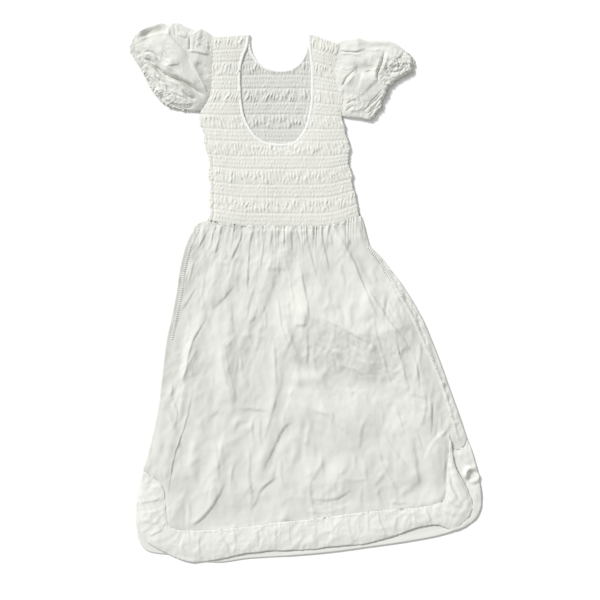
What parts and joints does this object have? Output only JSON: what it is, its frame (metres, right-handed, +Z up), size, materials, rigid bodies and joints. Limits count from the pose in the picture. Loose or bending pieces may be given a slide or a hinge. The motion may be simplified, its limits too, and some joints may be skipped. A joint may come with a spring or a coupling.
{
  "type": "peasant dress",
  "caption": "Lightweight cotton peasant dress laid flat: smocked bodice with a deep scooped neck, puff sleeves, and a gathered skirt with a deep rounded hem band.",
  "frame": {"origin": "the middle of the garment's footprint, on the surface that it lies on", "axes": "+X to the right seen from above, +Y from hem to neck, +Z up from the surface"},
  "size_m": [0.7366, 1.1318, 0.0271],
  "materials": {
    "cotton": "thin crisp plain-weave cotton, slightly sheer, matt, softly creased",
    "smocked_cotton": "the same cotton drawn up by rows of elastic thread, matt",
    "doubled_cotton": "two layers of the same cotton, whiter and less sheer, matt",
    "binding": "narrow bias binding, topstitched, matt white"
  },
  "bodies": {
    "root": {"bodice_back": "smocked_cotton", "bodice_front": "smocked_cotton", "neck_binding_back": "binding", "neck_binding_front": "binding", "sleeve_left": "cotton", "sleeve_right": "cotton", "skirt_back": "cotton", "skirt_front": "cotton", "hem_band_back": "doubled_cotton", "hem_band_front": "doubled_cotton"}
  },
  "joints": []
}
